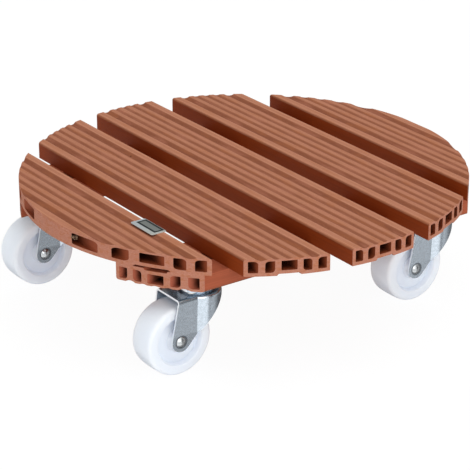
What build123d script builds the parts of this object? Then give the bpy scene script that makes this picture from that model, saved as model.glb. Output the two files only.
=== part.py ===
"""Round plant pot caddy: five hollow ribbed deck boards on two crossbeams, with four swivel castors.

Frame: millimetres, +Z up, origin on the floor under the middle of the deck.  X runs along the
deck boards and Y along the crossbeams.  At rest every wheel trails towards -Y.
"""
from build123d import *
import math
import os

# ---------------------------------------------------------------- hollow board profile
BOARD_W = 53.2          # width of the extruded board
BOARD_T = 12.5          # thickness, feet to lands
SIDE_WALL = 2.3         # outer side walls
ROOF = 1.7              # wall over the chambers
FLOOR = 2.5             # wall under the four narrow chambers
CENTRE_FLOOR = 2.4      # wall under the middle chamber, above the recess
CENTRE_CHAMBER_W = 10.0  # the wide middle chamber
OUTER_WEB = 3.9         # web between the two narrow chambers, under the groove
INNER_WEB = 3.7         # web beside the middle chamber
RECESS_W = 15.2         # shallow recess between the two feet
RECESS_D = 1.4
RECESS_SLOPE = 1.0      # run of the recess's two sloping sides
LAND_W = 6.8            # flat raised edge on each side of the top
GROOVE_W = 6.8          # scooped groove beside each land
GROOVE_D = 1.3
RIB_COUNT = 4           # flat-topped ribs between the grooves
RIB_CREST_W = 3.1
RIB_VALLEY_D = 0.6
EDGE_R = 1.6            # rounded outer corners
FOOT_R = 1.3
CHAMBER_R = 0.6         # corners inside the chambers
CHAMBER_BIG_R = 2.4     # the corners that face a groove or the recess

# ---------------------------------------------------------------- deck
BOARD_COUNT = 5
BOARD_GAP = 16.3        # open gap between neighbouring boards
RIM_TRIM = 0.3          # how far the round cut bites into the two outer boards
BEAM_SPACING = 182.0    # crossbeam centre to crossbeam centre

# ---------------------------------------------------------------- screws
SCREW_D = 3.5           # shank of both kinds of screw
SCREW_HEAD_D = 7.0
SCREW_POINT = 2.5       # length of the pointed end
SCREW_TIP_R = 0.3
HOLE_CLEAR = 0.05       # radial clearance of a screw or rivet in its hole
CSK_H = 2.0             # height of a countersunk head
DECK_SCREW_BITE = 6.0   # how far a deck screw reaches into its board
PAN_H = 2.0             # height of a round head
CASTOR_SCREW_L = 11.0   # castor screw, under its head

# ---------------------------------------------------------------- castor
CASTOR_INSET = 34.3     # rim of the deck to the swivel axis, along the crossbeam
TRAIL = 22.0            # swivel axis to wheel axle
PLATE_W = 40.0
PLATE_T = 1.8
PLATE_R = 6.0
PLATE_HOLE_EDGE = 4.6   # hole centre to the edge of the plate
CUP_R = 9.0             # cup pressed down into the middle of the plate
CUP_DROP = 3.8          # depth of the cup below the plate's underside
CUP_CORNER_R = 1.2
HEAD_GAP = 6.6          # plate underside to fork crown
BALL_D = 3.2
BALL_COUNT = 12
BALL_PLAY = 0.3         # radial room on each side of the balls
RACE_T = 1.4            # sheet of the pressed ball race
RACE_RIM_GAP = 0.6      # rim of the race to the underside of the plate
KING_D = 6.0
KING_HEAD_D = 11.0
KING_HEAD_H = 2.0
KING_CHAMFER = 1.0      # on the upper head
WASHER_D = 15.0         # thrust washer under the cup
RUN_CLEAR = 0.05        # radial running clearance
END_PLAY = 0.05         # axial running clearance
FORK_SHEET = 1.3
FORK_R = 15.2           # round skirt of the fork, outside, at its lower end
LEG_CLEAR = 0.1         # rim of the wheel to the inside of a leg, measured at the axle
FORK_DRAFT = 3.2        # how far skirt and legs lean outward, going up, in degrees
LEG_UPRIGHT = 0.6       # a leg stays upright to this height above the head of the axle rivet
FORK_SHOULDER_R = 2.4   # outside bend between crown and skirt
JOGGLE_R = 2.6          # hollow bend where a straight leg leaves the round skirt, outside
CROWN_CLEAR = 4.5       # crown underside above the top of the wheel
CROWN_REACH = 24.2      # front edge of the crown, in front of the swivel axis
LEG_END_R = 7.3         # rounded lower end of a leg
SKIRT_ANGLE = 46.5      # slope of the lower edge of the fork, from the horizontal
SKIRT_LIP = 5.0         # depth of the skirt behind the swivel axis, from the top of the crown
SKIRT_CORNER_R = 6.0

# ---------------------------------------------------------------- wheel and axle
WHEEL_D = 51.4
WHEEL_W = 22.2          # over the rim
WHEEL_SHOULDER_R = 2.8
WHEEL_CROWN = 0.5       # the tread is this much larger in the middle
RIM_T = 7.6             # tread to the edge of the dished side
RIM_EDGE_R = 0.8        # rounding of that edge
DISH_D = 3.6            # depth of the dish on each side
DISH_SLOPE = 1.6        # run of its sloping walls
HUB_D = 14.6
HUB_PLAY = 0.2          # hub face to fork leg
AXLE_D = 5.0
AXLE_HEAD_D = 7.8
AXLE_HEAD_H = 1.5
SLEEVE_WALL = 1.25

PAST = 1.0              # how far a cutting body runs past what it cuts

# ---------------------------------------------------------------- places worked out from the above
PITCH = BOARD_W + BOARD_GAP
DECK_R = (BOARD_COUNT - 1) / 2 * PITCH + BOARD_W / 2 - RIM_TRIM
BEAM_X = BEAM_SPACING / 2
AXLE_Z = WHEEL_D / 2
FORK_GAP = WHEEL_W + 2 * LEG_CLEAR                    # between the insides of the two legs, at the axle
CROWN_Z = WHEEL_D + CROWN_CLEAR + FORK_SHEET          # top of the crown
PLATE_Z = CROWN_Z + HEAD_GAP                          # underside of the plate
BEAM_Z = PLATE_Z + PLATE_T                            # underside of the crossbeams
BOARD_Z = BEAM_Z + BOARD_T                            # underside of the deck boards
SWIVEL_Y = math.sqrt(DECK_R**2 - BEAM_X**2) - CASTOR_INSET
PLATE_HOLE_PITCH = PLATE_W - 2 * PLATE_HOLE_EDGE
FORK_WIDEST_R = FORK_R + CROWN_Z * math.tan(math.radians(FORK_DRAFT))
NARROW_CHAMBER_W = (BOARD_W / 2 - SIDE_WALL - OUTER_WEB - INNER_WEB - CENTRE_CHAMBER_W / 2) / 2
INNER_WEB_X = (CENTRE_CHAMBER_W + INNER_WEB) / 2      # middle of the inner web
OUTER_WEB_X = BOARD_W / 2 - SIDE_WALL - NARROW_CHAMBER_W - OUTER_WEB / 2
RIB_FIELD = BOARD_W - 2 * (LAND_W + GROOVE_W)         # width that the ribs share
RIB_VALLEY_W = (RIB_FIELD - RIB_COUNT * RIB_CREST_W) / (RIB_COUNT - 1)

CASTORS = {"front_left": (-1, -1), "front_right": (1, -1), "back_left": (-1, 1), "back_right": (1, 1)}


def export(name, shape):
    """One STEP file for each sub-part, named after its node."""
    export_step(shape, f"parts/{name}.step")


# ================================================================ shared shapes
def turned(points):
    """A solid of revolution about Z from (radius, z) corners."""
    return revolve(Plane.XZ * make_face(Polyline(points, close=True)), Axis.Z)


def dome_middle(radius, height):
    """Point halfway up a round cap of this base radius and height, as (radial, axial)."""
    sphere = (radius**2 + height**2) / (2 * height)
    half_angle = math.asin(radius / sphere) / 2
    return sphere * math.sin(half_angle), height - sphere + sphere * math.cos(half_angle)


def domed_head(radius, height, z):
    """Round cap hanging below z."""
    out, down = dome_middle(radius, height)
    with BuildSketch(Plane.XZ) as profile:
        with BuildLine():
            Polyline((0, z - height), (0, z), (radius, z))
            ThreePointArc((radius, z), (out, z - down), (0, z - height))
        make_face()
    return revolve(profile.sketch, Axis.Z)


# ================================================================ deck
def scoop(x_right, width, depth):
    """An arc dipping below the top of the board, drawn from right to left."""
    return ThreePointArc((x_right, BOARD_T), (x_right - width / 2, BOARD_T - depth), (x_right - width, BOARD_T))


def board_outline():
    """Outer outline of the profile: two feet, two lands, two grooves and the ribs between them."""
    half, recess = BOARD_W / 2, RECESS_W / 2
    with BuildSketch() as outline:
        with BuildLine():
            Polyline(
                (half - LAND_W, BOARD_T), (half, BOARD_T), (half, 0), (recess, 0), (recess - RECESS_SLOPE, RECESS_D),
                (RECESS_SLOPE - recess, RECESS_D), (-recess, 0), (-half, 0), (-half, BOARD_T), (LAND_W - half, BOARD_T),
            )
            x = half - LAND_W
            add(scoop(x, GROOVE_W, GROOVE_D))
            x -= GROOVE_W
            for rib in range(RIB_COUNT):
                add(Line((x, BOARD_T), (x - RIB_CREST_W, BOARD_T)))
                x -= RIB_CREST_W
                if rib < RIB_COUNT - 1:
                    add(scoop(x, RIB_VALLEY_W, RIB_VALLEY_D))
                    x -= RIB_VALLEY_W
            add(scoop(x, GROOVE_W, GROOVE_D))
        make_face()
        corners = outline.vertices().filter_by(lambda v: abs(abs(v.X) - half) < 0.01)
        fillet(corners.filter_by(lambda v: v.Y > BOARD_T / 2), EDGE_R)
        fillet(corners.filter_by(lambda v: v.Y < BOARD_T / 2), FOOT_R)
    return outline.sketch


def chamber(x0, x1, y0, big_corners):
    """One hollow chamber; big_corners names the corners with the large radius, as (right?, top?)."""
    y1 = BOARD_T - ROOF
    face = Pos((x0 + x1) / 2, (y0 + y1) / 2) * Rectangle(x1 - x0, y1 - y0)
    for right in (False, True):
        for top in (False, True):
            at = Vector(x1 if right else x0, y1 if top else y0)
            corner = face.vertices().sort_by(lambda v: (Vector(v) - at).length)[0]
            face = fillet(corner, CHAMBER_BIG_R if (right, top) in big_corners else CHAMBER_R)
    return face


def board_section():
    """The hollow five-chamber section, x across and y up from the feet."""
    wide = CENTRE_CHAMBER_W / 2
    inner0 = wide + INNER_WEB
    inner1 = inner0 + NARROW_CHAMBER_W
    outer0 = inner1 + OUTER_WEB
    outer1 = outer0 + NARROW_CHAMBER_W
    section = board_outline()
    section -= chamber(-wide, wide, RECESS_D + CENTRE_FLOOR, [])
    section -= chamber(inner0, inner1, FLOOR, [(True, True), (False, False)])
    section -= chamber(-inner1, -inner0, FLOOR, [(False, True), (True, False)])
    section -= chamber(outer0, outer1, FLOOR, [(False, True)])
    section -= chamber(-outer1, -outer0, FLOOR, [(True, True)])
    return section


def round_cut(z):
    """The deck's round outline as a disc one board thick."""
    return Pos(0, 0, z) * Cylinder(DECK_R, BOARD_T, align=(Align.CENTER, Align.CENTER, Align.MIN))


def extruded(section, plane):
    """A straight length of profile, long enough to cross the whole deck."""
    return extrude(plane * section, DECK_R + PAST, both=True)


def deck_board(section, index):
    y = (index - (BOARD_COUNT - 1) / 2) * PITCH
    blank = extruded(section, Plane(origin=(0, y, BOARD_Z), x_dir=(0, 1, 0), z_dir=(1, 0, 0)))
    return blank & round_cut(BOARD_Z)


def crossbeam(section, side):
    """The same profile turned over: feet up against the deck, ribs down."""
    plane = Plane(origin=(side * BEAM_X, 0, BEAM_Z + BOARD_T), x_dir=(1, 0, 0), z_dir=(0, 1, 0))
    return extruded(section, plane) & round_cut(BEAM_Z)


# ================================================================ screws
def deck_screw_spots(side):
    """Two screws at each crossing, on the webs, clear of the castor plates."""
    spots = []
    middle = (BOARD_COUNT - 1) // 2
    for index in range(BOARD_COUNT):
        y = (index - middle) * PITCH
        if index == middle:
            offsets = [(OUTER_WEB_X, OUTER_WEB_X), (-OUTER_WEB_X, -OUTER_WEB_X)]
        elif abs(index - middle) < middle:
            inward = math.copysign(1, middle - index)
            offsets = [(OUTER_WEB_X, inward * OUTER_WEB_X), (-OUTER_WEB_X, inward * INNER_WEB_X)]
        else:
            inward = math.copysign(1, middle - index)
            offsets = [(-side * OUTER_WEB_X, inward * INNER_WEB_X), (-side * INNER_WEB_X, inward * INNER_WEB_X)]
        spots += [(side * BEAM_X + dx, y + dy) for dx, dy in offsets]
    return spots


def screw(head, length):
    """A screw pointing up, the underside of its head or its widest edge at z = 0."""
    r = SCREW_D / 2
    return turned(head + [(r, length - SCREW_POINT), (SCREW_TIP_R, length), (0, length)])


def deck_screw():
    """Countersunk, its flat face at z = 0, long enough to bite into the board above."""
    seat = BOARD_T - GROOVE_D
    head = [(0, 0), (SCREW_HEAD_D / 2, 0), (SCREW_D / 2, CSK_H)]
    return screw(head, seat + DECK_SCREW_BITE)


def castor_screw():
    """Round head below z = 0 and shank above."""
    rim = SCREW_HEAD_D / 2
    return domed_head(rim, PAN_H, 0) + screw([(0, 0), (SCREW_D / 2, 0)], CASTOR_SCREW_L)


def deck_screw_hole():
    """Clearance for a deck screw, with its countersink open to the ribbed underside."""
    r, rim = SCREW_D / 2 + HOLE_CLEAR, SCREW_HEAD_D / 2 + HOLE_CLEAR
    low, top = -GROOVE_D - PAST, BOARD_T + DECK_SCREW_BITE + PAST
    return turned([(0, low), (rim, low), (rim, 0), (r, CSK_H), (r, top), (0, top)])


def at_spots(shape, spots, z):
    return [Pos(x, y, z) * shape for x, y in spots]


def castor_screw_spots(side_x, side_y):
    half = PLATE_HOLE_PITCH / 2
    x, y = side_x * BEAM_X, side_y * SWIVEL_Y
    return [(x + i * half, y + j * half) for i in (-1, 1) for j in (-1, 1)]


# ================================================================ castor, about its own swivel axis
def top_plate():
    """Square plate with a cup pressed down in its middle for the head of the king pin."""
    base = Align.CENTER, Align.CENTER, Align.MIN
    plate = extrude(RectangleRounded(PLATE_W, PLATE_W, PLATE_R), PLATE_T)
    plate += Pos(0, 0, -CUP_DROP) * Cylinder(CUP_R, CUP_DROP, align=base)
    plate = fillet(plate.edges().filter_by(GeomType.CIRCLE).group_by(Axis.Z)[0], CUP_CORNER_R)
    plate -= Pos(0, 0, PLATE_T - CUP_DROP) * Cylinder(CUP_R - PLATE_T, CUP_DROP, align=base)
    plate -= Pos(0, 0, -CUP_DROP) * Cylinder(KING_D / 2 + HOLE_CLEAR, CUP_DROP, align=base)
    hole = Cylinder(SCREW_D / 2 + 2 * HOLE_CLEAR, 3 * PLATE_T)
    half = PLATE_HOLE_PITCH / 2
    for i in (-1, 1):
        for j in (-1, 1):
            plate -= Pos(i * half, j * half, 0) * hole
    return Pos(0, 0, PLATE_Z) * plate


def king_pin():
    """Rivet through the plate and the crown; its upper head lies inside the cup."""
    seat = PLATE_Z + PLATE_T - CUP_DROP
    under = CROWN_Z - FORK_SHEET - END_PLAY
    r, head, top = KING_D / 2, KING_HEAD_D / 2, seat + KING_HEAD_H
    shank = turned([(0, under), (r, under), (r, seat), (head, seat), (head, top - KING_CHAMFER),
                    (head - KING_CHAMFER, top), (0, top)])
    return shank + domed_head(head, KING_HEAD_H, under)


def ring(r_in, r_out, z0, z1):
    """A plain washer or tube about the swivel axis."""
    base = Align.CENTER, Align.CENTER, Align.MIN
    body = Cylinder(r_out, z1 - z0, align=base) - Cylinder(r_in, z1 - z0, align=base)
    return Pos(0, 0, z0) * body


def swivel_washer():
    """Thrust washer between the bottom of the cup and the crown."""
    return ring(KING_D / 2 + RUN_CLEAR, WASHER_D / 2, CROWN_Z + END_PLAY, PLATE_Z - CUP_DROP)


def ball_track_radius():
    return CUP_R + BALL_PLAY + BALL_D / 2


def ball_race():
    """Pressed ring on the crown: a floor under the balls and a rim round them."""
    floor = PLATE_Z - BALL_D - END_PLAY
    r0 = CUP_R + BALL_PLAY
    r1 = ball_track_radius() + BALL_D / 2 + BALL_PLAY
    points = [
        (r0, floor), (r1, floor), (r1, PLATE_Z - RACE_RIM_GAP), (r1 + RACE_T, PLATE_Z - RACE_RIM_GAP),
        (r1 + RACE_T, floor - RACE_T), (r0 + RACE_T, floor - RACE_T), (r0 + RACE_T, CROWN_Z), (r0, CROWN_Z),
    ]
    return turned(points)


def balls():
    """Bearing balls, each its own solid."""
    track = ball_track_radius()
    ball = Pos(track, 0, PLATE_Z - BALL_D / 2) * Sphere(BALL_D / 2)
    return [Rot(0, 0, 360 / BALL_COUNT * i) * ball for i in range(BALL_COUNT)]


def fork_side_cut():
    """Side view of the fork, as a block across its whole width: y forward of the swivel axis is negative."""
    slope = math.radians(SKIRT_ANGLE)
    axle = (-TRAIL, AXLE_Z)
    tangent = (axle[0] + LEG_END_R * math.sin(slope), axle[1] - LEG_END_R * math.cos(slope))
    back = FORK_WIDEST_R + PAST
    lip_z = CROWN_Z - SKIRT_LIP
    knee = (tangent[0] + (lip_z - tangent[1]) / math.tan(slope), lip_z)
    front_top = (-CROWN_REACH, CROWN_Z)
    reach = math.hypot(front_top[0] - axle[0], front_top[1] - axle[1])
    lean = math.atan2(front_top[1] - axle[1], front_top[0] - axle[0]) + math.acos(LEG_END_R / reach)
    front_low = (axle[0] + LEG_END_R * math.cos(lean), axle[1] + LEG_END_R * math.sin(lean))
    turn = (lean + slope - math.pi / 2 + 2 * math.pi) / 2
    lowest = (axle[0] + LEG_END_R * math.cos(turn), axle[1] + LEG_END_R * math.sin(turn))
    with BuildSketch(Plane.YZ) as side:
        with BuildLine():
            ThreePointArc(front_low, lowest, tangent)
            Polyline(tangent, knee, (back, lip_z), (back, CROWN_Z), front_top, front_low)
        make_face()
        fillet(side.vertices().sort_by(lambda v: math.dist((v.X, v.Y), knee))[0], SKIRT_CORNER_R)
    return extrude(side.sketch, back, both=True)


def fork_plan(skirt_r, leg_half, reach, bend_r):
    """Plan of the fork: a round skirt about the swivel axis with two straight legs in front."""
    plan = Circle(skirt_r) + Pos(0, -reach / 2) * Rectangle(2 * leg_half, reach)
    joggles = [v for v in plan.vertices() if abs(math.hypot(v.X, v.Y) - skirt_r) < 0.01 and v.Y < -0.01]
    return fillet(joggles, bend_r)


def drawn(plan, z_top):
    """A plan drawn up from the floor: upright as far as the axle, then leaning outward by the draft."""
    bend_z = AXLE_Z + AXLE_HEAD_D / 2 + LEG_UPRIGHT
    return extrude(plan, bend_z) + extrude(Pos(0, 0, bend_z) * plan, z_top - bend_z, taper=-FORK_DRAFT)


def fork():
    """Swivel fork pressed from one sheet: crown, round skirt and two tapering legs."""
    reach = TRAIL + 2 * LEG_END_R
    inner_half = FORK_GAP / 2
    outer = drawn(fork_plan(FORK_R, inner_half + FORK_SHEET, reach, JOGGLE_R), CROWN_Z)
    outer = fillet(crown_edges(outer, reach), FORK_SHOULDER_R)
    inner = drawn(fork_plan(FORK_R - FORK_SHEET, inner_half, reach + PAST, JOGGLE_R + FORK_SHEET),
                  CROWN_Z - FORK_SHEET)
    inner = fillet(crown_edges(inner, reach), FORK_SHOULDER_R - FORK_SHEET)
    body = (outer - inner) & fork_side_cut()
    body -= Pos(0, 0, CROWN_Z) * Cylinder(KING_D / 2 + RUN_CLEAR, 4 * FORK_SHEET)
    body -= axle_rod(AXLE_D / 2 + HOLE_CLEAR, FORK_GAP + 6 * FORK_SHEET)
    return body


def crown_edges(blank, reach):
    """The top edges of a fork blank, all but the straight front one."""
    return blank.edges().group_by(Axis.Z)[-1].filter_by(lambda e: e.center().Y > PAST - reach)


def axle_rod(radius, length):
    """A cylinder along the axle."""
    return Pos(0, -TRAIL, AXLE_Z) * Rot(0, 90, 0) * Cylinder(radius, length)


def axle_sleeve():
    """Steel tube clamped between the legs; the wheel turns on it."""
    bore = AXLE_D / 2 + HOLE_CLEAR
    return axle_rod(bore + SLEEVE_WALL, FORK_GAP) - axle_rod(bore, FORK_GAP)


def about_axle(points_and_arcs):
    """Turn a half section, drawn as x along the axle and y outward, about the axle."""
    plane = Plane(origin=(0, -TRAIL, AXLE_Z), x_dir=(1, 0, 0), z_dir=(0, -1, 0))
    return revolve(plane * points_and_arcs, Axis((0, -TRAIL, AXLE_Z), (1, 0, 0)))


def axle_rivet():
    """Axle rivet with a domed head outside each leg."""
    face, r, head = FORK_GAP / 2 + FORK_SHEET, AXLE_D / 2, AXLE_HEAD_D / 2
    tip = face + AXLE_HEAD_H
    out, along = dome_middle(head, AXLE_HEAD_H)
    with BuildSketch() as half:
        with BuildLine():
            Line((-tip, 0), (tip, 0))
            for side in (-1, 1):
                ThreePointArc((side * tip, 0), (side * (face + along), out), (side * face, head))
                Line((side * face, head), (side * face, r))
            Line((-face, r), (face, r))
        make_face()
    return about_axle(half.sketch)


def wheel():
    """Moulded wheel: crowned tread, round shoulders, dished sides and a long hub."""
    bore = AXLE_D / 2 + HOLE_CLEAR + SLEEVE_WALL + RUN_CLEAR
    hub_end = FORK_GAP / 2 - HUB_PLAY
    side, tread, rim = WHEEL_W / 2, WHEEL_D / 2, WHEEL_D / 2 - RIM_T
    hub, web = HUB_D / 2, WHEEL_W / 2 - DISH_D
    with BuildSketch() as half:
        with BuildLine():
            Line((-hub_end, bore), (hub_end, bore))
            ThreePointArc((-side, tread - WHEEL_CROWN), (0, tread), (side, tread - WHEEL_CROWN))
            for s in (-1, 1):
                Polyline(
                    (s * hub_end, bore), (s * hub_end, hub), (s * web, hub + DISH_SLOPE), (s * web, rim - DISH_SLOPE),
                    (s * side, rim), (s * side, tread - WHEEL_CROWN),
                )
        make_face()
        fillet([v for v in half.vertices() if v.Y > tread - WHEEL_CROWN - 0.01], WHEEL_SHOULDER_R)
        fillet([v for v in half.vertices() if abs(v.Y - rim) < 0.01], RIM_EDGE_R)
    return about_axle(half.sketch)


def castor():
    """Every piece of one castor about its own swivel axis, by name."""
    return {
        "plate": top_plate(), "king_pin": king_pin(), "washer": swivel_washer(), "balls": balls(),
        "ball_race": ball_race(), "fork": fork(), "axle_rivet": axle_rivet(), "axle_sleeve": axle_sleeve(),
        "wheel": wheel(),
    }


# ================================================================ assembly
def main():
    os.makedirs("parts", exist_ok=True)
    section = board_section()
    hole = deck_screw_hole()
    spots = {side: deck_screw_spots(side) for side in (-1, 1)}
    seat_z = BEAM_Z + GROOVE_D

    for index in range(BOARD_COUNT):
        board = deck_board(section, index)
        board -= at_spots(hole, spots[-1] + spots[1], seat_z)
        export(f"deck_board_{index + 1}", board)

    pilot = Cylinder(SCREW_D / 2 + HOLE_CLEAR, BOARD_T, align=(Align.CENTER, Align.CENTER, Align.MIN))
    for side, name in ((-1, "left"), (1, "right")):
        beam = crossbeam(section, side)
        beam -= at_spots(hole, spots[side], seat_z)
        for side_y in (-1, 1):
            beam -= at_spots(pilot, castor_screw_spots(side, side_y), BEAM_Z - 1)
        export(f"crossbeam_{name}", beam)
        export(f"deck_screws_{name}", Compound(at_spots(deck_screw(), spots[side], seat_z)))

    pieces = castor()
    for name, (side_x, side_y) in CASTORS.items():
        place = Pos(side_x * BEAM_X, side_y * SWIVEL_Y, 0)
        for piece, shape in pieces.items():
            if piece == "balls":
                export(f"castor_{name}_{piece}", Compound([place * ball for ball in shape]))
            else:
                export(f"castor_{name}_{piece}", place * shape)
        screws = at_spots(castor_screw(), castor_screw_spots(side_x, side_y), PLATE_Z)
        export(f"castor_{name}_screws", Compound(screws))


main()
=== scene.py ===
"""Finishes, small fittings and studio of a round plant pot caddy on four swivel castors.

Laid out as an add-on: the sizes and colours are properties, and each group of pieces has its own operator.
Units are metres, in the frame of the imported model: +Z up, boards along X, crossbeams along Y.
"""

import math

import bmesh
import bpy
from bpy.props import FloatProperty, FloatVectorProperty, PointerProperty
from mathutils import Matrix, Quaternion, Vector


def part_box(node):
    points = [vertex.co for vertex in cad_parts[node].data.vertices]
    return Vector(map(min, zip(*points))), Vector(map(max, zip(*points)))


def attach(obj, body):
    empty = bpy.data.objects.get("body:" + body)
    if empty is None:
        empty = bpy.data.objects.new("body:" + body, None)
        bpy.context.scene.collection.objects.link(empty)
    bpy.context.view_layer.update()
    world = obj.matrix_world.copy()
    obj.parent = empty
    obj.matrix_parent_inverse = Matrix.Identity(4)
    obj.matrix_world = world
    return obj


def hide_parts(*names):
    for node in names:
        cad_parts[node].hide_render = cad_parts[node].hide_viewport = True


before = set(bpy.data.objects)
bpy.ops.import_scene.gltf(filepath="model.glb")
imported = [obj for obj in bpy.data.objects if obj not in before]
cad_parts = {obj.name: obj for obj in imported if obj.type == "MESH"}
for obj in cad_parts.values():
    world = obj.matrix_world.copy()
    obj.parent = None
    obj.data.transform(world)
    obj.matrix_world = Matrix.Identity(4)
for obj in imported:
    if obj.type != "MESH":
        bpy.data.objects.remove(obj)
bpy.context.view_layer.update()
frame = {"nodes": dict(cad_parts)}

bl_info = {
    "name": "Plant pot caddy",
    "version": (1, 0, 0),
    "blender": (4, 5, 0),
    "location": "View3D > Sidebar > Caddy",
    "description": "Finishes, fittings and studio for a round plant pot caddy",
    "category": "Object",
}

MM = 0.001
CORNERS = ("front_left", "front_right", "back_left", "back_right")
BOARDS = sorted(name for name in frame["nodes"] if name.startswith("deck_board_"))
BEAMS = ("crossbeam_left", "crossbeam_right")

# ---------------------------------------------------------------- places read from the frame
def middle_of(node):
    """Middle of a CAD node's box."""
    low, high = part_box(node)
    return (low + high) / 2


MIDDLE_LOW, MIDDLE_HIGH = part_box(BOARDS[2])
DECK_TOP = MIDDLE_HIGH.z
DECK_R = (MIDDLE_HIGH.x - MIDDLE_LOW.x) / 2
BOARD_W = MIDDLE_HIGH.y - MIDDLE_LOW.y
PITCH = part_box(BOARDS[3])[0].y - MIDDLE_LOW.y
BEAM_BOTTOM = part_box("crossbeam_right")[0].z
BEAM_X = middle_of("crossbeam_right").x
FRONT_AXLE = middle_of("castor_front_right_wheel")
BACK_AXLE = middle_of("castor_back_right_wheel")
SCREW_TURN = 2.4        # from one screw's cross to the next one's, in radians

# ---------------------------------------------------------------- edges of the finishes
# A pair gives the places where a mask is 0 and where it is 1.

# On a board, in millimetres: from its middle line, or down from the tops of its ribs.
HALF_W = BOARD_W / MM / 2
LAND_INNER = HALF_W - 6.4           # the two edges of a raised land
LAND_OUTER = HALF_W - 2.2
NEAR_INNER = (0.75, 0.15)           # distances from those edges
NEAR_OUTER = (0.90, 0.15)
TOP_OF_LAND = (0.45, 0.15)
CREST_TO_VALLEY = (0.04, 0.50)
VALLEY_TO_GROOVE = (0.55, 1.05)
BELOW_FACE = (1.45, 1.75)
ROUNDED_SIDE = (HALF_W - 2.6, HALF_W - 1.6)
BELOW_ROUNDING = (1.05, 1.60)
CHAMBER_SIDES = (HALF_W - 2.0, HALF_W - 2.2)
CHAMBER_ROOF = (1.6, 1.7)
CHAMBER_FLOOR = (10.3, 10.2)

# Radii round the middle of the deck, in millimetres.
RIM = DECK_R / MM
PAST_MOUTH = RIM - 1.0

# On a castor, in millimetres from the axle, and as the y of a face's normal.
# Radii of the painted shadow ring round each axle rivet's head.
RIVET_SHADOW = (5.3, 4.4)
FACING_FRONT = (-0.90, -0.97)

# Heights in millimetres above which steel is painted dark as shade: on the castor plates' tops against the
# beams, and on screws inside the chambers.
PLATE_SHADE = (BEAM_BOTTOM / MM - 0.3, BEAM_BOTTOM / MM - 0.1)
SCREW_SHADE = (BEAM_BOTTOM / MM + 1.4, BEAM_BOTTOM / MM + 1.6)

# In the sky, as the x or y of a direction.
FRONT_PANEL = (-0.20, -0.34)
RIGHT_PANEL_FRONT = (-0.34, -0.20)
RIGHT_PANEL_BACK = (0.38, 0.24)
RIGHT_PANEL_SIDE = (0.45, 0.65)
BESIDE_INNER = (0.00, 0.70)
BESIDE_OUTER = (0.78, 0.70)
WHITE = (1.0, 1.0, 1.0, 1.0)


# ================================================================ shader arithmetic
class Shade:
    """A number or colour inside a material; arithmetic on it adds the nodes."""

    def __init__(self, paint, socket):
        self.paint = paint
        self.socket = socket

    def __add__(self, other):
        return self.paint.math("ADD", self, other)

    def __sub__(self, other):
        return self.paint.math("SUBTRACT", self, other)

    def __rsub__(self, other):
        return self.paint.math("SUBTRACT", other, self)

    def __mul__(self, other):
        return self.paint.math("MULTIPLY", self, other)

    def __abs__(self):
        return self.paint.math("ABSOLUTE", self)

    __radd__ = __add__
    __rmul__ = __mul__


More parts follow.
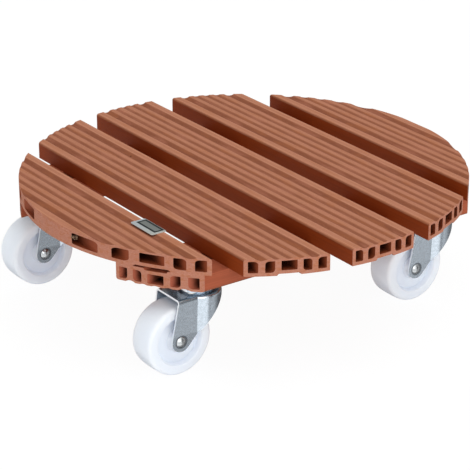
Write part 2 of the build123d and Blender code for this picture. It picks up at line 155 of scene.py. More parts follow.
class Paint:
    """One material, or the world, and the means to build its nodes."""

    def __init__(self, name, world=None):
        self.owner = world or bpy.data.materials.new(name)
        self.owner.use_nodes = True
        self.tree = self.owner.node_tree
        self.tree.nodes.clear()

    def node(self, kind, settings=None, sockets=None, output=0):
        """A node of this type, with its settings set first and then its sockets filled."""
        made = self.tree.nodes.new(kind)
        for name, value in (settings or {}).items():
            setattr(made, name, value)
        by_name = {socket.identifier: socket for socket in made.inputs}
        for name, value in (sockets or {}).items():
            if isinstance(value, Shade):
                self.tree.links.new(value.socket, by_name[name])
            else:
                by_name[name].default_value = value
        return Shade(self, made.outputs[output]) if made.outputs else None

    def math(self, operation, *values):
        names = ("Value", "Value_001", "Value_002")
        return self.node("ShaderNodeMath", {"operation": operation}, dict(zip(names, values)))

    def place(self):
        """Object coordinates in millimetres, as x, y and z."""
        return [part * (1 / MM) for part in self.coordinates("Object")]

    def coordinates(self, kind):
        """x, y and z of the coordinates of this kind."""
        return self.split(self.node("ShaderNodeTexCoord", output=kind))

    def split(self, vector):
        parts = self.node("ShaderNodeSeparateXYZ", sockets={"Vector": vector})
        return [Shade(self, socket) for socket in parts.socket.node.outputs]

    def ray(self, *kinds):
        """1 for a ray of any of these kinds."""
        outputs = self.node("ShaderNodeLightPath").socket.node.outputs
        found = [Shade(self, outputs[f"Is {kind} Ray"]) for kind in kinds]
        return found[0] if len(found) == 1 else self.math("MAXIMUM", *found)

    def ramp(self, value, low, high):
        """0 below low and 1 above high, with a smooth step between; low may be the larger."""
        sockets = {"Value": value, "From Min": low, "From Max": high}
        return self.node("ShaderNodeMapRange", {"interpolation_type": "SMOOTHSTEP"}, sockets)

    def noise(self, place, scales, detail=2.0, roughness=0.5):
        """Noise over a place, with these frequencies along its three parts."""
        parts = {axis: part * scale for axis, part, scale in zip("XYZ", place, scales)}
        sockets = {"Vector": self.node("ShaderNodeCombineXYZ", sockets=parts), "Scale": 1.0,
                   "Detail": detail, "Roughness": roughness}
        return self.node("ShaderNodeTexNoise", None, sockets)

    def mix(self, factor, a, b):
        """Colour a where factor is 0 and b where it is 1."""
        colours = [value if isinstance(value, Shade) else (*value, 1.0) for value in (a, b)]
        sockets = {"Factor_Float": factor, "A_Color": colours[0], "B_Color": colours[1]}
        return self.node("ShaderNodeMix", {"data_type": "RGBA"}, sockets, output=2)

    def blend(self, share, a, b):
        """Shader a with this share of shader b."""
        return self.node("ShaderNodeMixShader", None, {"Fac": share, "Shader": a, "Shader_001": b})

    def layers(self, base, *coats):
        """Colours laid over base in turn, each given as its cover and itself."""
        for cover, coat in coats:
            base = self.mix(cover, base, coat)
        return base

    def distance(self, a, b):
        """Length of the vector with these two parts."""
        return self.math("SQRT", a * a + b * b)

    def bump(self, height, depth_mm, strength):
        """Relief whose height runs from 0 to 1 over this depth."""
        sockets = {"Height": height, "Distance": depth_mm * MM, "Strength": strength}
        return self.node("ShaderNodeBump", None, sockets)

    def finish(self, shader, output="ShaderNodeOutputMaterial"):
        self.node(output, None, {"Surface": shader})
        return self.owner

    def solid(self, **named):
        """A Principled surface; names are its sockets with underscores for spaces."""
        sockets = {name.replace("_", " "): value for name, value in named.items()}
        return self.finish(self.node("ShaderNodeBsdfPrincipled", None, sockets))


# ================================================================ properties
def colour(name, description, value):
    return FloatVectorProperty(name=name, description=description, subtype="COLOR", size=3, default=value,
                               min=0, max=1)


def length(name, description, value):
    return FloatProperty(name=name, description=description, subtype="DISTANCE", unit="LENGTH", default=value)


def angle(name, description, degrees):
    return FloatProperty(name=name, description=description, subtype="ANGLE", default=math.radians(degrees))


def amount(name, description, value):
    return FloatProperty(name=name, description=description, default=value, min=0)


def point(name, description, value):
    return FloatVectorProperty(name=name, description=description, subtype="XYZ", unit="LENGTH",
                               default=value)


class BoardLook(bpy.types.PropertyGroup):
    crest: colour("Rib tops", "Brushed tops of the ribs and lands", (0.46, 0.193, 0.112))
    # Painted highlight: pale lines where both edges of each land catch the light.
    land_edge_highlight: colour("Rubbed edges", "Paler lines along both edges of each land", (0.58, 0.275, 0.165))
    valley: colour("Valleys", "Shallow valleys between the ribs", (0.272, 0.094, 0.048))
    groove: colour("Grooves", "Deeper grooves beside the lands", (0.238, 0.077, 0.038))
    rosy: colour("Rosy clouds", "Faint broad clouds on the ribbed face", (0.47, 0.185, 0.115))
    tawny: colour("Tawny clouds", "The other faint clouds", (0.40, 0.135, 0.050))
    fleck: colour("Pale flecks", "Wood flecks on the ribbed face", (0.60, 0.31, 0.19))
    speck: colour("Dark specks", "Dark specks on the ribbed face", (0.22, 0.070, 0.030))
    brushing: colour("Brush marks", "Marks across the ribs", (0.24, 0.085, 0.045))
    # Darker than the same skin on the crossbeams: partly its own dark unsanded colour, partly painted shade
    # for the narrow gaps between the boards.
    skin: colour("Board skin", "Smooth sides and underside of the boards", (0.205, 0.032, 0.004))
    chamber: colour("Board chambers", "Skin inside the chambers of the boards", (0.275, 0.068, 0.030))
    beam_skin: colour("Beam skin", "Smooth sides and back of the crossbeams", (0.34, 0.085, 0.040))
    beam_chamber: colour("Beam chambers", "Skin inside their chambers", (0.47, 0.135, 0.080))
    # Painted shade: the inside of a chamber is painted this dark colour from its mouth to the gloom depth,
    # where light doesn't reach.
    deep: colour("Deep inside", "Dusty inside of a chamber, away from its mouth", (0.040, 0.008, 0.003))
    board_gloom: length("Board gloom", "Depth at which the chambers of a board are dark", 8.0 * MM)
    beam_gloom: length("Beam gloom", "The same for a crossbeam", 6.0 * MM)
    cut: colour("Sawn faces", "Faces cut by the saw round the rim", (0.465, 0.195, 0.126))
    cut_fibre: colour("Cut fibres", "Cut wood fibres", (0.37, 0.135, 0.082))
    saw_mark: colour("Saw marks", "Pale saw marks", (0.68, 0.360, 0.270))
    cut_orange: colour("Orange patches", "Warmer patches of a sawn face", (0.40, 0.135, 0.055))
    cut_grey: colour("Grey patches", "Duller patches of a sawn face", (0.40, 0.190, 0.140))
    rim_depth: length("Rim depth", "How near the round rim a face counts as sawn", 0.12 * MM)
    # Painted shade: the pit has no depth; a dark disc is painted where the shade inside a small hole would
    # be.
    pit_x: length("Pit along", "A small dark pit in a groove of the second board, along it", -72.2 * MM)
    pit_y: length("Pit across", "The same pit, across the deck", -52.8 * MM)
    pit_r: length("Pit radius", "Radius of that pit", 1.0 * MM)
    painted_pit_shade: colour("Pit", "Inside of the pit", (0.050, 0.008, 0.002))


class CastorLook(bpy.types.PropertyGroup):
    zinc: colour("Zinc", "Plated steel sheet", (0.57, 0.64, 0.71))
    # Painted highlight: sheet faces that face the front, mostly the sheared and burnished edges, get this
    # pale, less metallic colour so they show as a bright line.
    front_edge_highlight: colour("Sheared edges", "Burnished edges of the sheet that face the front", (0.86, 0.89, 0.92))
    # Painted shadow: a dark ring round each axle rivet's head, where the head shades the leg.
    rivet_shadow: colour("Grime", "Dark ring round the heads of the axle rivets", (0.10, 0.11, 0.13))
    # Painted shade: steel against the beams and inside the chambers gets this dark colour, where light
    # doesn't reach.
    painted_shade: colour("Dust", "Steel that stands in a drilled chamber, under its dust", (0.085, 0.035, 0.020))
    nylon: colour("Nylon", "Natural nylon of the wheels", (0.815, 0.863, 0.999))
    glow: length("Translucency", "How far light spreads inside the nylon", 8.5 * MM)
    shine: amount("Nylon roughness", "Roughness of the moulded wheels", 0.36)
    rivet: colour("Bright steel", "Axle rivets and balls", (0.40, 0.42, 0.43))
    rivet_pale: colour("Bright steel, pale", "Palest part of its mottle", (0.52, 0.54, 0.55))
    oiled: colour("Oiled steel", "King pins", (0.06, 0.055, 0.05))
    oiled_pale: colour("Oiled steel, pale", "Palest part of its mottle", (0.13, 0.12, 0.11))


class ScrewLook(bpy.types.PropertyGroup):
    head: length("Head", "Diameter of the heads", 7.0 * MM)
    shank: length("Shank", "Diameter of the shanks, over the thread", 3.5 * MM)
    core: length("Core", "Diameter inside the thread", 2.5 * MM)
    cone: length("Countersink", "Height of a countersunk head", 2.0 * MM)
    reach: length("Recess reach", "Middle of a head to the end of a recess arm", 1.9 * MM)
    recess: length("Recess depth", "Depth of the cross recess", 1.3 * MM)
    point: length("Point", "Length of the pointed end", 2.5 * MM)
    neck: length("Neck", "Plain shank between the head and the thread", 1.5 * MM)
    pitch: length("Thread pitch", "Rise of the thread in one turn", 1.6 * MM)
    thread: length("Thread width", "Width of the thread at its root", 0.7 * MM)
    steel: colour("Steel", "Steel of the screws", (0.50, 0.50, 0.48))
    steel_pale: colour("Steel, pale", "Palest part of its mottle", (0.62, 0.62, 0.60))


class PlateLook(bpy.types.PropertyGroup):
    length: length("Length", "Along the board", 27.4 * MM)
    depth: length("Depth", "Across the board", 12.2 * MM)
    thick: length("Thickness", "Sheet thickness", 0.4 * MM)
    corner: length("Corner radius", "Radius of the corners", 1.5 * MM)
    from_middle: length("Along", "Middle of the plate from the middle of the board", 51.6 * MM)
    overhang: length("Overhang", "How far the plate stands past the edge of the board", 1.1 * MM)
    metal: colour("Metal", "Bare sheet at its right end", (0.62, 0.64, 0.60))
    metal_left: colour("Metal at the left", "Bare sheet at its left end", (0.589, 0.64, 0.672))
    field: colour("Field", "Inside of the frame", (0.26, 0.28, 0.265))
    frame: colour("Frame", "Dark printed frame", (0.012, 0.018, 0.018))
    frame_length: amount("Frame length", "Share of the plate's length", 0.78)
    frame_depth: amount("Frame depth", "Share of the plate's depth", 0.54)
    frame_back: amount("Frame back", "How far back the frame lies, as a share of the depth", 0.13)
    frame_line: length("Frame line", "Half the width of the frame's line", 0.85 * MM)


class BurrLook(bpy.types.PropertyGroup):
    along: length("Along", "Middle of the saw burr from the middle of the board", 28.0 * MM)
    below: length("Below", "Middle of the burr below the top of the deck", 4.6 * MM)
    curl: length("Curl", "Radius of a curled sliver", 1.2 * MM)
    width: length("Width", "Width of a sliver", 1.5 * MM)
    spread: length("Spread", "From one sliver to the next", 1.2 * MM)
    thick: length("Thickness", "Thickness of a sliver", 0.16 * MM)
    tint: colour("Torn fibre", "Torn fibre", (0.055, 0.022, 0.011))
    pale: colour("Pale fibre", "Palest torn fibre", (0.55, 0.36, 0.22))


class ViewLook(bpy.types.PropertyGroup):
    azimuth: angle("Azimuth", "Round the caddy, from straight in front", 54.78)
    elevation: angle("Elevation", "Above the horizon", 23.37)
    roll: angle("Roll", "Turn of the camera about its own line of sight", -0.13)
    lens: amount("Lens", "Focal length on a 36 mm wide sensor", 154.4)
    distance: length("Distance", "Camera to the point it looks at", 1.3726)
    aim: point("Aim", "Point in the middle of the view", (0.0975, -0.0769, DECK_TOP))


class StudioLook(bpy.types.PropertyGroup):
    sky: amount("Sky", "Brightness of the light from all round", 0.77)
    corners: amount("Mirrored corners", "What mirror rays see between the panels", 0.05)
    beside: amount("Mirrored strip", "Added between the front panel and the right one", 0.64)
    right: amount("Mirrored right", "Added by the panel at the right", 1.35)
    front: amount("Mirrored front", "Added by the panel in front", 1.10)
    key: amount("Key", "Power of the large soft lamp above the caddy, in watts", 10.2)
    key_size: length("Key size", "Diameter of that lamp", 1.5)
    key_place: point("Key place", "Middle of that lamp", (0.25, 0.30, 1.90))
    fill: amount("Fill", "Power of the soft lamp low at the right, in watts", 6.8)
    fill_size: length("Fill size", "Diameter of that lamp", 1.1)
    fill_place: point("Fill place", "Middle of that lamp", (1.60, -0.55, 0.45))
    table: colour("Table", "Matt white of the table", (0.94, 0.94, 0.95))
    table_reach: length("Table reach", "From the middle of the table to each side", 6.0)
    table_glow: amount("Table glow", "Strength of the light that the table gives off", 1.02)
    glow_share: amount("Glow share", "Share of that light in the table", 0.25)
    seen_share: amount("Seen share", "The same share, as the camera sees it", 0.92)
    open_share: amount("Open share", "How far the table lets mirror rays through", 0.82)


LOOKS = {"boards": BoardLook, "castors": CastorLook, "screws": ScrewLook, "plate": PlateLook,
         "burr": BurrLook, "view": ViewLook, "studio": StudioLook}


class CaddySettings(bpy.types.PropertyGroup):
    boards: PointerProperty(type=BoardLook)
    castors: PointerProperty(type=CastorLook)
    screws: PointerProperty(type=ScrewLook)
    plate: PointerProperty(type=PlateLook)
    burr: PointerProperty(type=BurrLook)
    view: PointerProperty(type=ViewLook)
    studio: PointerProperty(type=StudioLook)


# ================================================================ making and dressing pieces
def dress(node, material):
    """Give a CAD node its finish."""
    for slot in frame["nodes"][node].material_slots:
        slot.material = material


def linked(name, bm, material):
    """An object in the scene with this mesh and material; the bmesh is used up."""
    mesh = bpy.data.meshes.new(name)
    bm.to_mesh(mesh)
    bm.free()
    mesh.materials.append(material)
    made = bpy.data.objects.new(name, mesh)
    bpy.context.scene.collection.objects.link(made)
    return made


def piece(name, bm, material, body):
    """A new piece of the object from a bmesh that is already in place."""
    bmesh.ops.recalc_face_normals(bm, faces=bm.faces)
    made = linked(name, bm, material)
    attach(made, body)
    return made


def solids_in(node):
    """The middle of each separate solid in a CAD node, at its lowest point."""
    bm = bmesh.new()
    bm.from_mesh(frame["nodes"][node].data)
    bmesh.ops.remove_doubles(bm, verts=bm.verts, dist=0.001 * MM)
    waiting, places = set(bm.verts), []
    while waiting:
        reached = [waiting.pop()]
        group = list(reached)
        while reached:
            vert = reached.pop()
            near = {edge.other_vert(vert) for edge in vert.link_edges} & waiting
            waiting -= near
            reached += near
            group += near
        low = Vector(min(v.co[i] for v in group) for i in range(3))
        high = Vector(max(v.co[i] for v in group) for i in range(3))
        places.append(Vector(((low.x + high.x) / 2, (low.y + high.y) / 2, low.z)))
    bm.free()
    return sorted(places, key=lambda p: (round(p.y, 4), round(p.x, 4)))


# ================================================================ finishes
def tinted(value, base):
    """A colour made lighter or darker by this factor."""
    return [value * part for part in base]


class Composite:
    """Ribbed wood-plastic composite, from a point's place on its own board, in millimetres."""

    def __init__(self, paint, look, place, run, side, down):
        self.paint = paint
        self.look = look
        self.place = place
        self.run = run              # along the board
        self.side = side            # across it, from its middle
        self.edge = abs(side)
        self.down = down            # below the tops of its ribs
        self.radius = paint.distance(*place[:2])
        self.lines = self.grain(0.022, 2.4, detail=3.0, roughness=0.6)
        self.flecks = self.grain(0.45, 2.2, roughness=0.7)
        self.brushed = self.grain(2.2, 0.30, detail=1.0)
        self.fibres = paint.noise(place, (1.6, 1.6, 2.4), detail=4.0, roughness=0.65)

    def grain(self, along, across, detail=2.0, roughness=0.5):
        """Noise that keeps to the board, with these frequencies along and across it."""
        return self.paint.noise((self.run, self.side, self.down), (along, across, across), detail, roughness)

    def ribbed_face(self):
        """Crests, valleys and grooves, what the brush left on them, and painted highlights along the edges of
        the lands.
        """
        paint, look = self.paint, self.look
        clouds = self.grain(0.030, 0.16)
        edges = paint.math("MAXIMUM", paint.ramp(abs(self.edge - LAND_INNER), *NEAR_INNER),
                           paint.ramp(abs(self.edge - LAND_OUTER), *NEAR_OUTER))
        from_pit = paint.distance(self.place[0] - look.pit_x / MM, self.place[1] - look.pit_y / MM)
        pit_r = look.pit_r / MM
        return paint.layers(look.crest,
                            (paint.ramp(self.down, *CREST_TO_VALLEY), look.valley),
                            (paint.ramp(self.down, *VALLEY_TO_GROOVE), look.groove),
                            # Painted highlight along both edges of each land.
                            (edges * 0.55 * paint.ramp(self.down, *TOP_OF_LAND), look.land_edge_highlight),
                            (paint.ramp(self.lines, 0.60, 0.36) * 0.36, look.groove),
                            (paint.ramp(clouds, 0.50, 0.68) * 0.30, look.rosy),
                            (paint.ramp(clouds, 0.48, 0.34) * 0.30, look.tawny),
                            (paint.ramp(self.flecks, 0.66, 0.74) * 0.30, look.fleck),
                            (paint.ramp(self.flecks, 0.34, 0.27) * 0.35, look.speck),
                            (paint.ramp(self.brushed, 0.54, 0.70) * 0.24, look.brushing),
                            # Painted shade of the pit.
                            (paint.ramp(from_pit, pit_r, pit_r / 2), look.painted_pit_shade))

    def smooth_skin(self, smooth, chamber, gloom):
        """Extruded skin, with the chamber colour inside the chambers, and painted shade deeper in from their
        mouths.
        """
        paint = self.paint
        drawn = self.grain(0.012, 1.3)
        inside = (paint.ramp(self.edge, *CHAMBER_SIDES) * paint.ramp(self.down, *CHAMBER_ROOF)
                  * paint.ramp(self.down, *CHAMBER_FLOOR))
        deep = paint.ramp(self.radius, PAST_MOUTH, RIM - gloom / MM)
        return paint.layers(smooth,
                            (paint.ramp(drawn, 0.35, 0.65) * 0.5, tinted(1.30, smooth)),
                            (inside * 0.6, chamber),
                            # Painted shade deep inside the chambers.
                            (inside * deep * 0.88, self.look.deep))

    def sawn_face(self):
        """The rim as the saw left it."""
        paint, look = self.paint, self.look
        marks = paint.noise(self.place, (0.35, 0.35, 3.5))
        patches = paint.noise(self.place, (0.22, 0.22, 0.40), detail=3.0, roughness=0.6)
        return paint.layers(look.cut,
                            (paint.ramp(self.fibres, 0.40, 0.62) * 0.55, look.cut_fibre),
                            (paint.ramp(marks, 0.52, 0.70) * 0.35, look.saw_mark),
                            (paint.ramp(patches, 0.50, 0.64) * 0.60, look.cut_orange),
                            (paint.ramp(patches, 0.46, 0.34) * 0.30, look.cut_grey))

    def material(self, smooth, chamber, gloom):
        paint = self.paint
        rim_depth = self.look.rim_depth / MM
        rounded = paint.ramp(self.edge, *ROUNDED_SIDE) * paint.ramp(self.down, *BELOW_ROUNDING)
        is_skin = paint.math("MAXIMUM", rounded, paint.ramp(self.down, *BELOW_FACE))
        is_sawn = paint.ramp(self.radius, RIM - 2 * rim_depth, RIM - rim_depth)
        base = paint.layers(self.ribbed_face(),
                            (is_skin, self.smooth_skin(smooth, chamber, gloom)),
                            (is_sawn, self.sawn_face()))
        rough = 0.80 + self.flecks * 0.10 + is_sawn * 0.10 - is_skin * 0.22
        brushed = (self.lines * 0.6 + self.brushed * 0.25) * (1 - is_skin)
        relief = brushed + self.flecks * 0.3 + self.fibres * is_sawn * 0.8
        return paint.solid(Base_Color=base, Roughness=rough, Specular_IOR_Level=0.12,
                           Normal=paint.bump(relief, depth_mm=0.22, strength=0.55))


def board_finish(look):
    """Deck boards: each point's place across its own board comes from the even pitch."""
    paint = Paint("deck_composite")
    x, y, z = place = paint.place()
    half_pitch = PITCH / MM / 2
    across = paint.math("WRAP", y, half_pitch, -half_pitch)
    boards = Composite(paint, look, place, run=x, side=across, down=DECK_TOP / MM - z)
    return boards.material(look.skin, look.chamber, look.board_gloom)


def beam_finish(look):
    """Crossbeams: the same profile along Y, turned over."""
    paint = Paint("beam_composite")
    x, y, z = place = paint.place()
    beams = Composite(paint, look, place, run=y, side=abs(x) - BEAM_X / MM, down=z - BEAM_BOTTOM / MM)
    return beams.material(look.beam_skin, look.beam_chamber, look.beam_gloom)


def zinc_finish(look):
    """Bright zinc plate: faint mottling and rolling lines, with painted shade on the plates' tops against the
    beams, a painted shadow ring round the axle rivets, and burnished sheet edges that face the front painted
    pale as a highlight.
    """
    paint = Paint("zinc_plate")
    x, y, z = place = paint.place()
    mottle = paint.noise(place, (0.55, 0.55, 0.55), detail=3.0, roughness=0.6)
    lines = paint.noise(place, (3.0, 3.0, 0.25))
    waves = paint.noise(place, (0.45, 0.45, 0.03))
    axles_middle = (FRONT_AXLE.y + BACK_AXLE.y) / MM / 2
    axles_apart = (BACK_AXLE.y - FRONT_AXLE.y) / MM
    from_axle = paint.distance(abs(y - axles_middle) - axles_apart / 2, z - FRONT_AXLE.z / MM)
    # Painted highlight on the faces that face the front, picked by their normal.
    front_edge_highlight = paint.ramp(paint.coordinates("Normal")[1], *FACING_FRONT)
    base = paint.layers(look.zinc,
                        (paint.ramp(mottle, 0.35, 0.65), tinted(0.86, look.zinc)),
                        # Painted shade on the plates' tops where they meet the beams.
                        (paint.ramp(z, *PLATE_SHADE), look.painted_shade),
                        # Painted shadow ring round the rivet heads.
                        (paint.ramp(from_axle, *RIVET_SHADOW) * 0.75, look.rivet_shadow),
                        (front_edge_highlight, look.front_edge_highlight))
    rough = 0.17 + mottle * 0.16 + front_edge_highlight * 0.25
    relief = waves + (lines + mottle) * 0.06
    return paint.solid(Base_Color=base, Metallic=1 - front_edge_highlight * 0.7, Roughness=rough,
                       Normal=paint.bump(relief, depth_mm=0.10, strength=0.25))


def steel_finish(name, painted_shade, dark, pale, rough):
    """Steel of the small parts, with a faint mottle, painted dark as shade where it stands above the beams'
    undersides.
    """
    paint = Paint(name)
    place = paint.place()
    mottle = paint.noise(place, (1.2, 1.2, 1.2), detail=3.0, roughness=0.6)
    base = paint.layers(dark, (mottle, pale), (paint.ramp(place[2], *SCREW_SHADE), painted_shade))
    return paint.solid(Base_Color=base, Metallic=1.0, Roughness=rough + mottle * 0.14)


def nylon_finish(look):
    """Natural nylon: pale, a little translucent, with the faint cloudiness of a thick moulding."""
    paint = Paint("natural_nylon")
    place = paint.place()
    cloud = paint.noise(place, (0.09, 0.09, 0.09))
    grain = paint.noise(place, (1.8, 1.8, 1.8))
    base = paint.mix(paint.ramp(cloud, 0.35, 0.65) * 0.5, look.nylon, tinted(0.97, look.nylon))
    return paint.solid(Base_Color=base, Roughness=look.shine, Subsurface_Weight=0.95,
                       Subsurface_Radius=(1.0, 1.0, 1.0), Subsurface_Scale=look.glow,
                       Normal=paint.bump(grain, depth_mm=0.02, strength=0.35), Specular_IOR_Level=0.45)


def plate_finish(look, middle):
    """Thin bare sheet with an empty dark frame over its far part."""
    paint = Paint("plate_metal")
    x, y, z = paint.place()
    long, deep, line = look.length / MM, look.depth / MM, look.frame_line / MM
    across, back = x - middle.x / MM, y - middle.y / MM
    brushed = paint.noise((across, back, z), (0.15, 6.0, 1.0), detail=3.0, roughness=0.6)
    metal = paint.mix(paint.ramp(across, -long / 2, long / 2), look.metal_left, look.metal)
    past_frame = paint.math("MAXIMUM", abs(across) - long * look.frame_length / 2,
                            abs(back - deep * look.frame_back) - deep * look.frame_depth / 2)
    is_line = paint.ramp(abs(past_frame), line + 0.1, line - 0.1)
    base = paint.layers(metal,
                        (paint.ramp(brushed, 0.35, 0.70) * 0.35, tinted(0.60, look.metal)),
                        (paint.ramp(past_frame, 0.1, -0.1), look.field),
                        (is_line, look.frame))
    return paint.solid(Base_Color=base, Metallic=0.35 - is_line * 0.35, Roughness=0.34 + brushed * 0.2,
                       Normal=paint.bump(brushed, depth_mm=0.02, strength=0.4))


def burr_finish(look):
    """Fibre torn out by the saw."""
    paint = Paint("torn_fibre")
    streaks = paint.noise(paint.place(), (0.8, 0.8, 2.5), detail=3.0, roughness=0.6)
    base = paint.mix(paint.ramp(streaks, 0.50, 0.60), look.tint, look.pale)
    return paint.solid(Base_Color=base, Roughness=0.85,
                       Normal=paint.bump(streaks, depth_mm=0.15, strength=0.6))


# ================================================================ screws
def parts_of(result, kind):
    """What a bmesh operator made, of one kind: BMVert, BMEdge or BMFace."""
    return [item for item in result["geom"] if isinstance(item, getattr(bmesh.types, kind))]


def screw_mesh(look, outline, total):
    """One screw standing head down at the origin: cross recess, turned outline and thread.

    outline gives the radius and height of each ring from the rim of the recess face to the shank.
    """
    bm = bmesh.new()
    bmesh.ops.create_grid(bm, x_segments=3, y_segments=3, size=look.reach)
    arm = look.reach / 3
    corners = [f for f in bm.faces if min(abs(f.calc_center_median().x), abs(f.calc_center_median().y)) > arm]
    bmesh.ops.delete(bm, geom=corners, context="FACES")
    recess, rim = bm.faces[:], [edge for edge in bm.edges if edge.is_boundary]
    taper = 0.55            # of the recess, to its floor
    first, *rings = outline
    ring = bmesh.ops.create_circle(bm, segments=24, radius=first[0])["verts"]
    bmesh.ops.translate(bm, vec=(0, 0, first[1]), verts=ring)
    edges = [edge for edge in bm.edges if edge.verts[0] in ring]
    bmesh.ops.bridge_loops(bm, edges=rim + edges)
    floor = parts_of(bmesh.ops.extrude_face_region(bm, geom=recess), "BMVert")
    bmesh.ops.scale(bm, vec=(taper, taper, 1), verts=floor)
    bmesh.ops.translate(bm, vec=(0, 0, look.recess), verts=floor)

    radius, height = first
    core, tip = look.core / 2, 0.3 * MM
    for next_radius, next_height in (*rings, (core, rings[-1][1]), (core, total - look.point), (tip, total)):
        made = bmesh.ops.extrude_edge_only(bm, edges=edges)
        edges, ring = parts_of(made, "BMEdge"), parts_of(made, "BMVert")
        bmesh.ops.scale(bm, vec=(next_radius / radius, next_radius / radius, 1), verts=ring)
        bmesh.ops.translate(bm, vec=(0, 0, next_height - height), verts=ring)
        radius, height = next_radius, next_height
    bmesh.ops.edgeloop_fill(bm, edges=edges)
    thread(bm, look, rings[-1][1] + look.pitch / 2, total - look.point)
    bmesh.ops.recalc_face_normals(bm, faces=bm.faces)
    mesh = bpy.data.meshes.new("screw")
    bm.to_mesh(mesh)
    bm.free()
    return mesh


def thread(bm, look, start, end):
    """A sharp thread wound round the core between these heights, with its root sunk in the core."""
    root, crest, width = look.core / 2 - 0.05 * MM, look.shank / 2, look.thread
    corners = [bm.verts.new((r, 0, start + h)) for r, h in ((root, 0), (crest, width / 2), (root, width))]
    section = bm.faces.new(corners)
    turns = (end - start - width) / look.pitch
    steps = 12              # to a turn
    bmesh.ops.spin(bm, geom=[section, *section.edges, *corners], cent=(0, 0, 0), axis=(0, 0, 1),
                   dvec=(0, 0, look.pitch / steps), angle=turns * math.tau, steps=round(turns * steps))


def screws_like(node, mesh, material):
    """Screws in place of a CAD group, one on each of its places, each turned its own way."""
    bm = bmesh.new()
    for number, place in enumerate(solids_in(node)):
        before = len(bm.verts)
        bm.from_mesh(mesh)
        new = bm.verts[before:]
        bmesh.ops.rotate(bm, cent=(0, 0, 0), matrix=Matrix.Rotation(number * SCREW_TURN, 3, "Z"), verts=new)
        bmesh.ops.translate(bm, vec=place, verts=new)
    made = piece(node.replace("screws", "screw_set"), bm, material, "deck")
    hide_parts(node)


# ================================================================ operators
class CADDY_OT_boards(bpy.types.Operator):
    """Finish the deck boards and the crossbeams"""
    bl_idname = "caddy.boards"
    bl_label = "Boards and beams"

    def execute(self, context):
        look = context.scene.caddy.boards
        deck, beam = board_finish(look), beam_finish(look)
        for name in BOARDS:
            dress(name, deck)
        for name in BEAMS:
            dress(name, beam)
        return {"FINISHED"}


class CADDY_OT_castors(bpy.types.Operator):
    """Finish the castors"""
    bl_idname = "caddy.castors"
    bl_label = "Castors"

    def execute(self, context):
        look = context.scene.caddy.castors
        zinc, nylon = zinc_finish(look), nylon_finish(look)
        bright = steel_finish("rivet_steel", look.painted_shade, look.rivet, look.rivet_pale, rough=0.20)
        oiled = steel_finish("oiled_steel", look.painted_shade, look.oiled, look.oiled_pale, rough=0.40)
        finishes = {"plate": zinc, "fork": zinc, "ball_race": zinc, "washer": zinc, "axle_sleeve": zinc,
                    "king_pin": oiled, "axle_rivet": bright, "balls": bright, "wheel": nylon}
        for corner in CORNERS:
            for part, material in finishes.items():
                dress(f"castor_{corner}_{part}", material)
        return {"FINISHED"}


class CADDY_OT_screws(bpy.types.Operator):
    """Cross-head screws: countersunk under the beams, pan-headed under the castor plates"""
    bl_idname = "caddy.screws"
    bl_label = "Screws"

    def execute(self, context):
        settings = context.scene.caddy
        look = settings.screws
        steel = steel_finish("screw_steel", settings.castors.painted_shade, look.steel, look.steel_pale, rough=0.26)
        head, shank = look.head / 2, look.shank / 2
        neck = [(shank, look.cone), (shank, look.cone + look.neck)]
        flat = [(head - 0.15 * MM, 0), (head, 0.12 * MM), *neck]
        pan = [(head * 0.69, 0.10 * MM), (head * 0.86, 0.45 * MM), (head * 0.96, 1.0 * MM), (head, 1.7 * MM),
               (head, look.cone), *neck]
        for side in ("left", "right"):
            self.group(f"deck_screws_{side}", look, flat, steel)
        for corner in CORNERS:
            self.group(f"castor_{corner}_screws", look, pan, steel)
        return {"FINISHED"}

    def group(self, node, look, outline, steel):
        heights = [vert.co.z for vert in frame["nodes"][node].data.vertices]
        mesh = screw_mesh(look, outline, max(heights) - min(heights))
        screws_like(node, mesh, steel)


class CADDY_OT_plate(bpy.types.Operator):
    """A small bare metal plate on the inner edge of the front board"""
    bl_idname = "caddy.plate"
    bl_label = "Plate"

    def execute(self, context):
        look = context.scene.caddy.plate
        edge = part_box(BOARDS[0])[1].y
        middle = Vector((look.from_middle, edge + look.overhang - look.depth / 2, DECK_TOP))
        bm = bmesh.new()
        bmesh.ops.create_grid(bm, x_segments=1, y_segments=1, size=0.5)
        bmesh.ops.scale(bm, vec=(look.length, look.depth, 1), verts=bm.verts)
        bmesh.ops.bevel(bm, geom=bm.verts[:], affect="VERTICES", offset=look.corner, segments=5, profile=0.5,
                        material=-1)
        top = bmesh.ops.extrude_face_region(bm, geom=bm.faces[:])
        bmesh.ops.translate(bm, vec=(0, 0, look.thick), verts=parts_of(top, "BMVert"))
        bmesh.ops.bevel(bm, geom=parts_of(top, "BMEdge"), affect="EDGES", offset=look.thick * 0.3, segments=2,
                        profile=0.5, material=-1)
        bmesh.ops.translate(bm, vec=middle, verts=bm.verts)
        piece("plate", bm, plate_finish(look, middle), "deck")
        return {"FINISHED"}


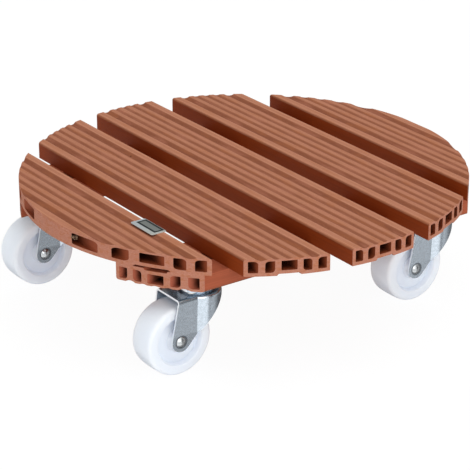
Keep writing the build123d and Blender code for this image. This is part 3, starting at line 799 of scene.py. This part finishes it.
class CADDY_OT_burr(bpy.types.Operator):
    """Slivers that the saw left hanging on the rim of the front board"""
    bl_idname = "caddy.burr"
    bl_label = "Saw burr"
    slivers = 4

    def execute(self, context):
        look = context.scene.caddy.burr
        bm = bmesh.new()
        for number in range(self.slivers):
            self.sliver(bm, look, number)
        piece("saw_burr", bm, burr_finish(look), "deck")
        return {"FINISHED"}

    def sliver(self, bm, look, number):
        """One curl, rolled about a line across the rim: each is wider and more open than the last."""
        before = len(bm.verts)
        curl = look.curl * (0.7 + 0.2 * number)
        sweep = math.radians(210 - 25 * number)
        roll, swing = 0.9 * number, 0.5 * number - 0.6
        lift = 0.5 * MM * (number % 2)
        ends = [bm.verts.new((0, side * look.width / 2, curl)) for side in (-1, 1)]
        bmesh.ops.spin(bm, geom=[*ends, bm.edges.new(ends)], cent=(0, 0, 0), axis=(0, 1, 0), dvec=(0, 0, 0),
                       angle=sweep, steps=10)
        bm.verts.ensure_lookup_table()
        strip = bm.verts[before:]
        faces = [face for face in bm.faces if face.verts[0] in strip]
        bmesh.ops.solidify(bm, geom=faces, thickness=look.thick)
        bm.verts.ensure_lookup_table()
        strip = bm.verts[before:]
        turn = Matrix.Rotation(roll, 3, "Y") @ Matrix.Rotation(swing, 3, "Z")
        bmesh.ops.rotate(bm, cent=(0, 0, 0), matrix=turn, verts=strip)
        x = look.along + (number - (self.slivers - 1) / 2) * look.spread
        place = Vector((x, -math.sqrt(DECK_R ** 2 - x ** 2), DECK_TOP - look.below + lift))
        bmesh.ops.translate(bm, vec=place, verts=strip)


class CADDY_OT_stage(bpy.types.Operator):
    """Floor, lamps, sky and camera"""
    bl_idname = "caddy.stage"
    bl_label = "Studio"

    def execute(self, context):
        look = context.scene.caddy.studio
        self.floor(look)
        self.sky(context.scene, look)
        self.lamp("key_lamp", look.key_place, look.key_size, look.key)
        self.lamp("fill_lamp", look.fill_place, look.fill_size, look.fill)
        self.camera(context.scene, context.scene.caddy.view)
        context.scene.view_settings.view_transform = "Standard"
        return {"FINISHED"}

    def floor(self, look):
        """A faintly glowing white table: plain white to the camera and mostly open to mirror rays."""
        paint = Paint("studio_floor")
        glow = paint.node("ShaderNodeEmission", None, {"Color": WHITE, "Strength": look.table_glow})
        matt = paint.node("ShaderNodeBsdfDiffuse", None, {"Color": (*look.table, 1)})
        through = paint.node("ShaderNodeBsdfTransparent")
        share = look.glow_share + paint.ray("Camera") * (look.seen_share - look.glow_share)
        white = paint.blend(share, matt, glow)
        table = paint.blend(paint.ray("Glossy", "Transmission") * look.open_share, white, through)
        bm = bmesh.new()
        bmesh.ops.create_grid(bm, x_segments=1, y_segments=1, size=look.table_reach)
        linked("studio_floor", bm, paint.finish(table))

    def sky(self, scene, look):
        """Even light all round; mirror rays see pale panels in front and at the right, in a dark sky."""
        world = bpy.data.worlds.new("studio_sky")
        paint = Paint("studio_sky", world)
        x, y, _ = paint.coordinates("Generated")
        in_front = paint.ramp(y, *FRONT_PANEL)
        right = (paint.ramp(y, *RIGHT_PANEL_FRONT) * paint.ramp(y, *RIGHT_PANEL_BACK)
                 * paint.ramp(x, *RIGHT_PANEL_SIDE))
        beside = paint.ramp(x, *BESIDE_OUTER) * paint.ramp(x, *BESIDE_INNER)
        panels = look.corners + beside * look.beside + right * look.right + in_front * look.front
        mirrored, seen = paint.ray("Glossy", "Transmission"), paint.ray("Camera")
        strength = look.sky + mirrored * (panels - look.sky) + seen * (1 - look.sky)
        background = paint.node("ShaderNodeBackground", None, {"Color": WHITE, "Strength": strength})
        scene.world = paint.finish(background, "ShaderNodeOutputWorld")

    def lamp(self, name, place, size, power):
        data = bpy.data.lights.new(name, "AREA")
        data.shape = "DISK"
        data.size = size
        data.energy = power
        lamp = bpy.data.objects.new(name, data)
        lamp.location = place
        lamp.rotation_mode = "QUATERNION"
        lamp.rotation_quaternion = (-Vector(place)).to_track_quat("-Z", "Y")
        bpy.context.scene.collection.objects.link(lamp)

    def camera(self, scene, look):
        data = bpy.data.cameras.new("camera")
        data.lens = look.lens
        data.clip_end = 20.0
        camera = bpy.data.objects.new("camera", data)
        flat = math.cos(look.elevation)
        back = Vector((math.sin(look.azimuth) * flat, -math.cos(look.azimuth) * flat,
                       math.sin(look.elevation)))
        camera.location = Vector(look.aim) + back * look.distance
        camera.rotation_mode = "QUATERNION"
        camera.rotation_quaternion = (-back).to_track_quat("-Z", "Y") @ Quaternion((0, 0, 1), look.roll)
        scene.collection.objects.link(camera)
        scene.camera = camera


OPERATORS = (CADDY_OT_boards, CADDY_OT_castors, CADDY_OT_screws, CADDY_OT_plate, CADDY_OT_burr,
             CADDY_OT_stage)


class CADDY_PT_panel(bpy.types.Panel):
    """Buttons and settings of the caddy"""
    bl_idname = "CADDY_PT_panel"
    bl_label = "Plant pot caddy"
    bl_space_type = "VIEW_3D"
    bl_region_type = "UI"
    bl_category = "Caddy"

    def draw(self, context):
        for operator in OPERATORS:
            self.layout.operator(operator.bl_idname)
        for name, look in LOOKS.items():
            box = self.layout.box()
            box.label(text=name.capitalize())
            for key in look.__annotations__:
                box.prop(getattr(context.scene.caddy, name), key)


CLASSES = (*LOOKS.values(), CaddySettings, *OPERATORS, CADDY_PT_panel)


def register():
    for cls in CLASSES:
        bpy.utils.register_class(cls)
    bpy.types.Scene.caddy = PointerProperty(type=CaddySettings)


def unregister():
    del bpy.types.Scene.caddy
    for cls in reversed(CLASSES):
        bpy.utils.unregister_class(cls)


def main():
    register()
    bpy.ops.caddy.boards()
    bpy.ops.caddy.castors()
    bpy.ops.caddy.screws()
    bpy.ops.caddy.plate()
    bpy.ops.caddy.burr()
    bpy.ops.caddy.stage()


if __name__ == "__main__":
    main()
